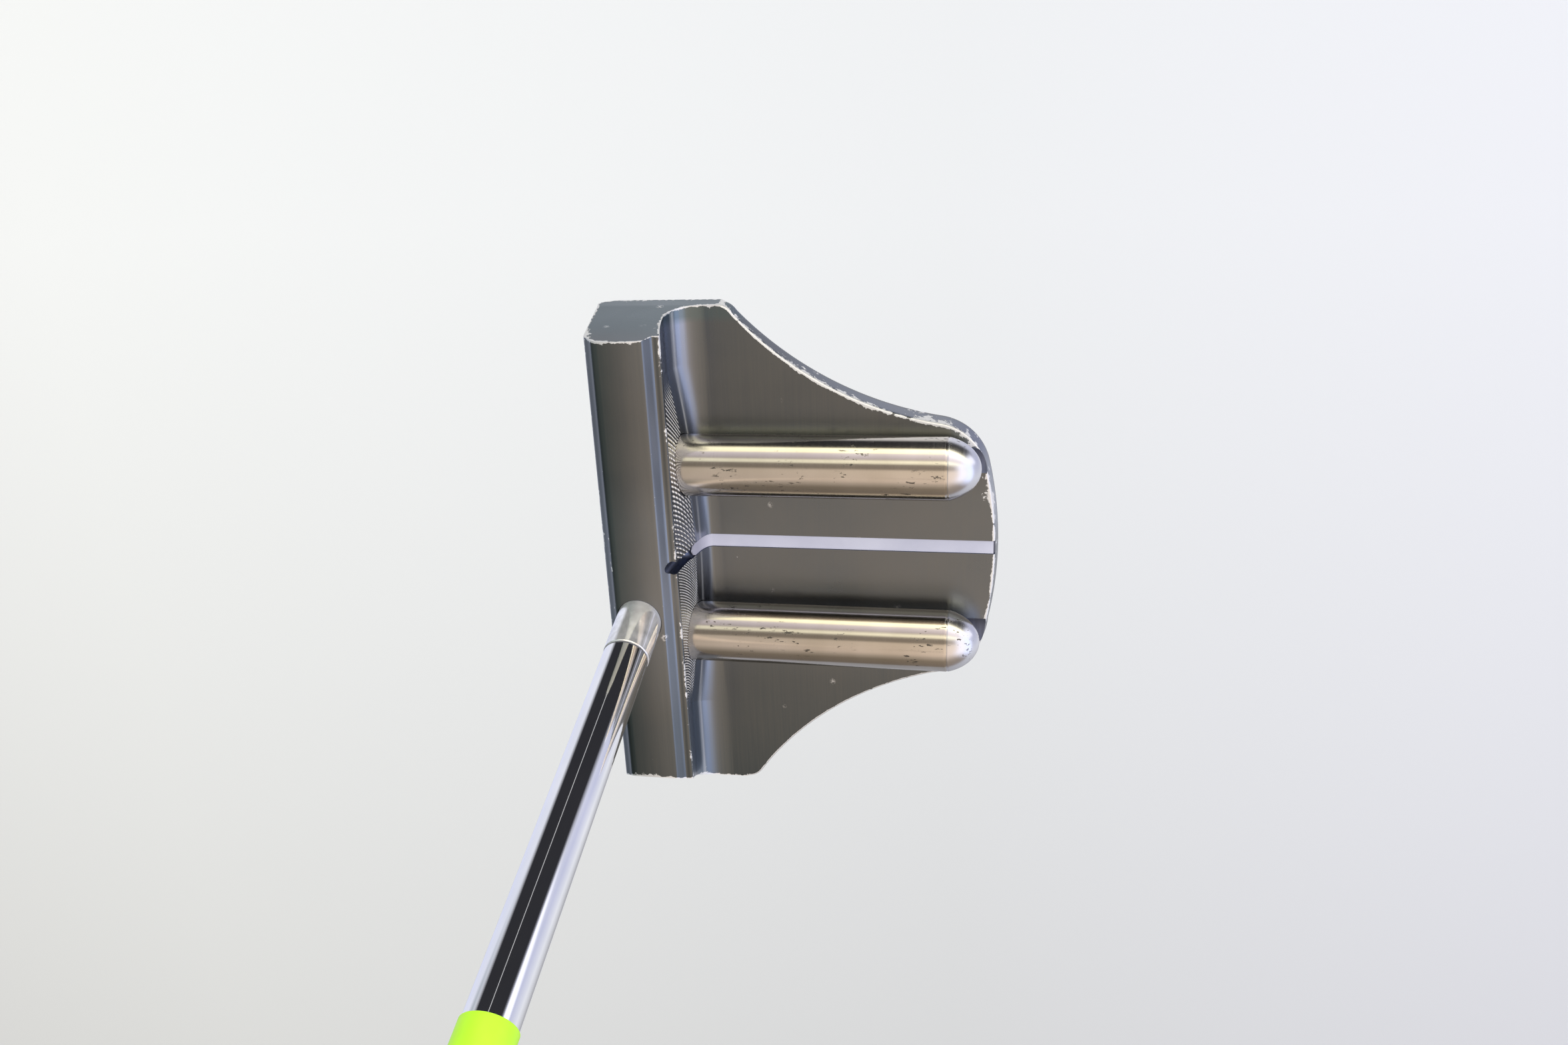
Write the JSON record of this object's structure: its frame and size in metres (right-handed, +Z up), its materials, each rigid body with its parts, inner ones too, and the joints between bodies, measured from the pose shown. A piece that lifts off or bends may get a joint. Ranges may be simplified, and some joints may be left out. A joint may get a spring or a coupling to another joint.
{
  "type": "mallet putter",
  "caption": "Mallet putter with a milled winged head, two steel bars, a white sight line, a stepped steel shaft with a lime band and a dark rubber pistol grip.",
  "frame": {"origin": "centre of the flat pad of the sole, with the club in its playing position", "axes": "+Z up; -Y is the way the face looks, so +Y points to the back of the head; -X is the toe and +X the heel, towards which the shaft leans"},
  "size_m": [0.3462, 0.0838, 0.8219],
  "materials": {
    "milled_head": "milled, anodised satin, worn bright on the edges",
    "bar_steel": "brushed lengthwise, with small nicks",
    "screw_steel": "satin",
    "sight_paint": "semi-gloss paint fill",
    "hosel_steel": "fine turned satin",
    "shaft_chrome": "polished",
    "band_film": "satin film",
    "tape": "matt paper tape",
    "grip_rubber": "matt, finely textured"
  },
  "bodies": {
    "root": {"head_body": "milled_head", "toe_bar": "bar_steel", "heel_bar": "bar_steel", "toe_bar_screw": "screw_steel", "heel_bar_screw": "screw_steel", "sight_line_paint": "sight_paint", "hosel_post": "hosel_steel", "shaft": "shaft_chrome", "shaft_band": "band_film", "grip_tape": "tape", "grip": "grip_rubber"}
  },
  "joints": []
}
